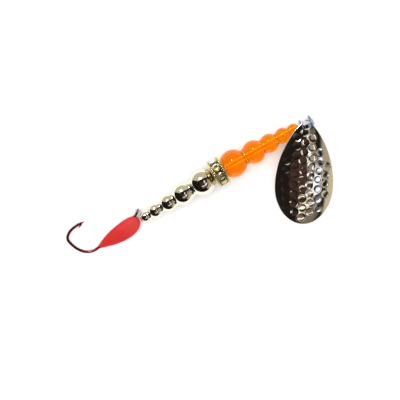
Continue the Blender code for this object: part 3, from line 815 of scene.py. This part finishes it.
def add_clevis():
    x = joint_axis("clevis_spin")
    y = joint_axis("blade_swing")
    place = frame_from(joint_place("clevis_spin"), x, y)
    length = 2 * CLEVIS_HEIGHT + math.pi * CLEVIS_BEND

    def half_width(u):
        near = min(u, length - u)
        ear = math.sqrt(max(0, EAR_RADIUS**2 - near**2)) if abs(near) < EAR_RADIUS else 0
        if near <= 0:
            return ear
        off = (near / EAR_RADIUS - EAR_BLEND_PLACE) / EAR_BLEND_LENGTH
        return max(ear, STRAP_HALF_WIDTH + EAR_BLEND * math.exp(-(off**2)))

    count = 240
    low = -EAR_RADIUS
    high = length + EAR_RADIUS
    us = [low + (high - low) * (1 - math.cos(math.pi * i / count)) / 2 for i in range(count + 1)]
    right = [(u, half_width(u)) for u in us]
    outline = even_loop(right + [(u, -w) for u, w in right[-2:0:-1]], 0.09)

    def surface(u, v):
        turn = np.clip((u - CLEVIS_HEIGHT) / CLEVIS_BEND, 0, math.pi)
        rise = np.minimum(u, CLEVIS_HEIGHT)
        fall = np.maximum(u - CLEVIS_HEIGHT - math.pi * CLEVIS_BEND, 0)
        points = np.column_stack([CLEVIS_BEND * np.cos(turn), v, rise + CLEVIS_BEND * np.sin(turn) - fall])
        normals = np.column_stack([np.cos(turn), np.zeros_like(v), np.sin(turn)])
        return points, normals

    strap = sheet_shell("clevis_strap", outline, (0, length), 12, STRAP_THICKNESS, STRAP_EDGE, surface, place)
    drill = cylinder("drill", EAR_HOLE_RADIUS, 2 * CLEVIS_BEND + 2, place @ ALONG_X)
    combine(strap, drill, "DIFFERENCE", 50)
    finish_piece(strap, "clevis", "clevis_nickel", clevis_nickel(), "clevis")


# ---- Hook and its painted body ----

def hook_frame():
    lie = Matrix.Rotation(HOOK_YAW, 4, "Z") @ Matrix.Rotation(HOOK_PITCH, 4, "Y")
    return Matrix.Translation(joint_place("hook_swing")) @ lie


def eye_direction():
    return Vector((math.cos(EYE_ANGLE), math.sin(EYE_ANGLE), 0))


def shank_start():
    return -EYE_REACH * eye_direction()


def eye_route():
    centre = -EYE_RADIUS * eye_direction()
    up = Vector((0, 0, 1))
    angles = [math.radians(a) for a in EYE_SWEEP]
    loop = [centre + EYE_RADIUS * (math.cos(a) * eye_direction() + math.sin(a) * up) for a in angles]
    turn_in = shank_start() + Vector(EYE_TURN_IN)
    return loop + smooth_route([loop[-1], turn_in, shank_start() - Vector((EYE_RADIUS, 0, 0))], 8)[1:]


def bend_route():
    start = shank_start() - Vector((SHANK_LENGTH, 0, 0))
    points = []
    for i in range(LOWER_BEND_STEPS + 1):
        a = math.pi / 2 * i / LOWER_BEND_STEPS
        back = math.sin(a) ** BEND_FULLNESS
        across = 1 - max(math.cos(a), 0) ** BEND_FULLNESS
        points.append(start + Vector((-LOWER_BEND[0] * back, LOWER_BEND[1] * across, 0)))
    back = start + Vector((UPPER_BEND[0] - LOWER_BEND[0], LOWER_BEND[1], 0))
    for i in range(1, UPPER_BEND_STEPS + 1):
        a = math.pi / 2 * i / UPPER_BEND_STEPS
        points.append(back + Vector((-UPPER_BEND[0] * math.cos(a), UPPER_BEND[1] * math.sin(a), 0)))
    top = points[-1]
    for i in range(1, POINT_STEPS + 1):
        t = i / POINT_STEPS
        points.append(top + Vector((POINT_LENGTH * t, -POINT_DROP * t**POINT_CURVE, 0)))
    return points


def add_hook():
    place = hook_frame()
    eye = eye_route()
    bend = bend_route()
    tip = bend[-1]
    last = len(eye) - 1
    shares = [ramp(i, last - 13, last) for i in range(len(eye))]
    eye_radii = [EYE_WIRE_RADIUS + (WIRE_RADIUS - EYE_WIRE_RADIUS) * share for share in shares]
    bend_radii = [WIRE_RADIUS * min(1, POINT_TIP + (tip - p).length / POINT_TAPER) for p in bend]
    wire = tube("hook_wire", eye + bend, eye_radii + bend_radii, place, 28)
    root = tip + Vector(BARB_ROOT)
    lean = Vector(BARB_LEAN).normalized()
    route = []
    radii = []
    for i in range(BARB_STEPS + 1):
        t = i / BARB_STEPS
        route.append(root + lean * BARB_LENGTH * t + Vector((0, -BARB_SAG * t**2, 0)))
        radii.append(BARB_RADIUS * (1 - t) ** 0.8 + 0.02)
    barb = tube("barb", route, radii, place, 20)
    combine(wire, barb, "UNION", 50)
    back = place.inverted()
    mark(wire, "bare", lambda p: ramp((back @ p).x / MM, BARE_FROM, BARE_TO))
    finish_piece(wire, "hook", "hook_red", hook_lacquer(), "hook")


def body_width(t):
    peak = BODY_BLUNT_POWER / (BODY_BLUNT_POWER + BODY_SHARP_POWER)
    largest = peak**BODY_BLUNT_POWER * (1 - peak) ** BODY_SHARP_POWER
    return t**BODY_BLUNT_POWER * (1 - t) ** BODY_SHARP_POWER / largest


def body_offset(t):
    """How far the middle of the painted body lies from the shank, to the point's side."""
    blunt, sharp = BODY_BOW_BLUNT_POWER, BODY_BOW_SHARP_POWER
    peak = blunt / (blunt + sharp)
    bow = BODY_BOW * (t / peak) ** blunt * ((1 - t) / (1 - peak)) ** sharp
    return BODY_OFFSET_FRONT + (BODY_OFFSET_REAR - BODY_OFFSET_FRONT) * t - bow


def add_body():
    place = hook_frame() @ Matrix.Translation((shank_start() + Vector((BODY_FRONT, 0, 0))) * MM)
    verts = []
    for i in range(BODY_ROWS + 1):
        t = (1 - math.cos(math.pi * i / BODY_ROWS)) / 2
        share = body_width(min(max(t, 0), 1))
        collar = BODY_COLLAR * min(1, t * 2)
        half_width = math.hypot(BODY_HALF_WIDTH * share, collar)
        half_thickness = math.hypot(BODY_HALF_THICKNESS * share, collar) * BODY_FLATTENING
        offset = body_offset(min(max(t, 0), 1))
        for j in range(BODY_COLUMNS):
            a = 2 * math.pi * j / BODY_COLUMNS
            uneven = 1 + BODY_WAVES[0] * math.sin(3 * a + 5 * t) + BODY_WAVES[1] * math.sin(11 * t + 2 * a)
            y = offset + half_width * uneven * math.cos(a)
            verts.append((-BODY_LENGTH * t, y, half_thickness * uneven * math.sin(a)))
    faces = grid_faces(BODY_ROWS + 1, BODY_COLUMNS)
    faces.append(tuple(range(BODY_ROWS * BODY_COLUMNS, (BODY_ROWS + 1) * BODY_COLUMNS)))
    body = mesh_object("painted_body", verts, faces, place, 70)
    back = place.inverted()
    # The blunt value marks where the painted highlight lies on the body.
    mark(body, "blunt", lambda p: 1 - ramp(-(back @ p).x / MM, BLUNT_PAINTED_LIGHT_FROM, BLUNT_PAINTED_LIGHT_TO))
    finish_piece(body, "hook", "body_paint", body_paint(), "hook_body")


# ---- Leader and knot ----

def add_leader():
    front = joint_place("front_beads_spin") / MM
    front_way = joint_axis("front_beads_spin")
    rear = joint_place("rear_beads_spin") / MM
    rear_way = -joint_axis("rear_beads_spin")
    pivot = joint_place("hook_swing") / MM
    start = front + front_way * (LEADER_FRONT_X - FRONT_BIG_BALL_X)
    front_mouth = front - front_way * FRONT_BIG_END_CUT
    rear_mouth = rear - rear_way * REAR_BIG_END_CUT
    middle = (front_mouth + rear_mouth) / 2 + Vector((0, 0, LEADER_DIP))
    inside = smooth_route([front, front_mouth, middle, rear_mouth, rear], 8)
    tail = rear + rear_way * (REAR_BALL_PLACES[-1] + SMALL_END_CUT)
    end = pivot + (KNOT_OUTER + LEADER_RADIUS / 2 + FIT) * Vector(LEADER_KNOT_SIDE).normalized()
    lead_out = [tail - rear_way * LEADER_LEAD, tail - rear_way * LEADER_MOUTH + Vector((0, 2 * FIT, 0))]
    lead_out += [tail + Vector(LEADER_ASIDE), tail + Vector(LEADER_DOWN), end]
    route = [start] + inside + smooth_route(lead_out, 12)
    clear = nylon()
    line = tube("nylon_leader", route, [LEADER_RADIUS] * len(route), Matrix.Identity(4), 20)
    finish_piece(line, "leader", "nylon", clear, "leader_line")
    turns = []
    for i in range(KNOT_STEPS + 1):
        a = KNOT_SWEEP * i / KNOT_STEPS + KNOT_START
        z = KNOT_HEIGHT / 2 - KNOT_HEIGHT * i / KNOT_STEPS
        turns.append(pivot + Vector((KNOT_TURN_RADIUS * math.cos(a), KNOT_TURN_RADIUS * math.sin(a), z)))
    out = (turns[-1] - turns[-2]).normalized()
    turns += [turns[-1] + out * KNOT_TAG * i / 3 for i in range(1, 4)]
    coil = tube("nylon_knot", turns, [KNOT_LINE_RADIUS] * len(turns), Matrix.Identity(4), 16)
    finish_piece(coil, "leader", "nylon", clear, "hook_knot")


# ---- Studio ----

def image_direction(azimuth, elevation):
    """A world direction from degrees round the camera's view, counted from its right side, and degrees up."""
    a = math.radians(azimuth) + VIEW_TURN
    e = math.radians(elevation)
    return Vector((math.cos(a) * math.cos(e), math.sin(a) * math.cos(e), math.sin(e)))


# Flat cards that shiny surfaces see: azimuth, elevation, half width and half height in degrees from the
# card's middle, how far the card is shifted sideways, softness of its edge, colour. Later cards lie on top.
CARDS = (
    (-62, 78, 22, 13, 0.0, 0.45, (0.065, 0.033, 0.023)),
    (118, 0, 64.5, 66, 0.9, 0.10, (0.66, 0.61, 0.45)),
    (118, 60, 22, 8, 0.0, 0.40, (0.92, 0.95, 0.97)),
    (118, 57, 5, 4.5, 0.0, 0.30, (60.0, 60.0, 60.0)),
    (-60, 43, 16, 7, 0.0, 0.40, (0.20, 0.165, 0.12)),
    (8, 38, 15, 9, 0.0, 0.30, (0.42, 0.36, 0.26)),
    (5, 65, 10, 5, 0.0, 0.50, (0.40, 0.34, 0.26)),
    (-28, 51, 13, 10, 0.0, 0.45, (0.16, 0.17, 0.23)),
    (-28, 51, 8, 5.5, 0.0, 0.40, (1.45, 1.48, 1.65)),
    (-70, 54, 12, 3.5, 0.0, 0.30, (1.30, 1.15, 0.90)),
    (9, 71.5, 10.5, 2.0, 0.0, 0.30, (2.00, 1.90, 1.65)),
    (-12, 17, 34, 14, 0.0, 0.15, (0.60, 0.52, 0.35)),
)
DARK_ROOM = (0.010, 0.008, 0.007)
AMBIENT = (1.40, 1.40, 1.41)


def make_world():
    world = bpy.data.worlds.new("studio")
    bpy.context.scene.world = world
    world.use_nodes = True
    tree = world.node_tree
    tree.nodes.clear()

    def add(kind, operation=None, **inputs):
        node = tree.nodes.new(kind)
        if operation:
            node.operation = operation
        for key, value in inputs.items():
            target = node.inputs[int(key[1:])]
            if isinstance(value, bpy.types.NodeSocket):
                tree.links.new(value, target)
            else:
                target.default_value = value
        return node.outputs

    way = add("ShaderNodeTexCoord")["Generated"]
    seen = None
    for azimuth, elevation, wide, high, shift, soft, colour in CARDS:
        facing = image_direction(azimuth, elevation)
        side = Vector((0, 0, 1)).cross(facing).normalized()
        up = facing.cross(side)
        ahead = add("ShaderNodeVectorMath", "DOT_PRODUCT", _0=way, _1=facing)[1]
        front = add("ShaderNodeMath", "GREATER_THAN", _0=ahead, _1=0.001)[0]
        ahead = add("ShaderNodeMath", "MAXIMUM", _0=ahead, _1=0.001)[0]
        across = add("ShaderNodeVectorMath", "DOT_PRODUCT", _0=way, _1=side)[1]
        above = add("ShaderNodeVectorMath", "DOT_PRODUCT", _0=way, _1=up)[1]
        across = add("ShaderNodeMath", "DIVIDE", _0=across, _1=ahead)[0]
        above = add("ShaderNodeMath", "DIVIDE", _0=above, _1=ahead)[0]
        across = add("ShaderNodeMath", "ADD", _0=across, _1=shift)[0]
        across = add("ShaderNodeMath", "ABSOLUTE", _0=across)[0]
        above = add("ShaderNodeMath", "ABSOLUTE", _0=above)[0]
        across = add("ShaderNodeMath", "DIVIDE", _0=across, _1=math.tan(math.radians(wide)))[0]
        above = add("ShaderNodeMath", "DIVIDE", _0=above, _1=math.tan(math.radians(high)))[0]
        reach = add("ShaderNodeMath", "SMOOTH_MAX", _0=across, _1=above, _2=0.2)[0]
        inside = add("ShaderNodeMapRange", _0=reach, _1=1 + soft, _2=1 - soft, _3=0.0, _4=1.0)[0]
        share = add("ShaderNodeMath", "MULTIPLY", _0=inside, _1=front)[0]
        mix = tree.nodes.new("ShaderNodeMix")
        mix.data_type = "RGBA"
        tree.links.new(share, mix.inputs[0])
        if seen is None:
            mix.inputs[6].default_value = (*DARK_ROOM, 1)
        else:
            tree.links.new(seen, mix.inputs[6])
        mix.inputs[7].default_value = (*colour, 1)
        seen = mix.outputs[2]
    path = add("ShaderNodeLightPath")
    glossy = add("ShaderNodeMath", "MINIMUM", _0=path["Glossy Depth"], _1=1.0)[0]
    clear = add("ShaderNodeMath", "SUBTRACT", _0=1.0, _1=path["Is Diffuse Ray"])[0]
    mirrored = add("ShaderNodeMath", "MULTIPLY", _0=glossy, _1=clear)[0]
    final = tree.nodes.new("ShaderNodeMix")
    final.data_type = "RGBA"
    tree.links.new(mirrored, final.inputs[0])
    final.inputs[6].default_value = (*AMBIENT, 1)
    tree.links.new(seen, final.inputs[7])
    background = tree.nodes.new("ShaderNodeBackground")
    tree.links.new(final.outputs[2], background.inputs["Color"])
    output = tree.nodes.new("ShaderNodeOutputWorld")
    tree.links.new(background.outputs[0], output.inputs["Surface"])


def add_floor():
    mesh = bpy.data.meshes.new("floor")
    mesh.from_pydata([(-1.5, -1.5, 0), (1.5, -1.5, 0), (1.5, 1.5, 0), (-1.5, 1.5, 0)], [], [(0, 1, 2, 3)])
    floor = bpy.data.objects.new("floor", mesh)
    floor.location.z = CAD_BOX[0].z - 0.00002
    bpy.context.scene.collection.objects.link(floor)
    paper = Nodes("floor_paper", Base_Color=(0.93, 0.93, 0.93, 1), Roughness=0.9, Specular_IOR_Level=0.0)
    mesh.materials.append(paper.material)


def add_softbox(name, azimuth, elevation, distance, size, power):
    """A soft light that falls on the object but isn't mirrored in it."""
    light = bpy.data.lights.new(name, "AREA")
    light.shape = "SQUARE"
    light.size = size
    light.energy = power
    lamp = bpy.data.objects.new(name, light)
    way = image_direction(azimuth, elevation)
    lamp.location = way * distance
    lamp.rotation_euler = way.to_track_quat("Z", "Y").to_euler()
    lamp.visible_glossy = False
    bpy.context.scene.collection.objects.link(lamp)


def add_camera():
    centre = joint_place("rondelle_spin") / MM
    camera = bpy.data.cameras.new("camera")
    camera.lens = LENS
    camera.sensor_width = SENSOR
    camera.clip_start = 0.01
    camera.clip_end = 10
    holder = bpy.data.objects.new("camera", camera)
    x = centre.x + VIEW_FROM_RONDELLE[0]
    y = centre.y + VIEW_FROM_RONDELLE[1]
    holder.location = Vector((x, y, VIEW_HEIGHT + VIEW_WIDTH * LENS / SENSOR)) * MM
    holder.rotation_euler = (0, 0, VIEW_TURN)
    bpy.context.scene.collection.objects.link(holder)
    bpy.context.scene.camera = holder


add_camera()
add_floor()
make_world()
add_softbox("key", 125, 66, 0.8, 0.5, 1.0)
bpy.context.scene.view_settings.view_transform = "Standard"

add_stacks()
add_rondelle()
add_blade()
add_clevis()
add_hook()
add_body()
add_leader()
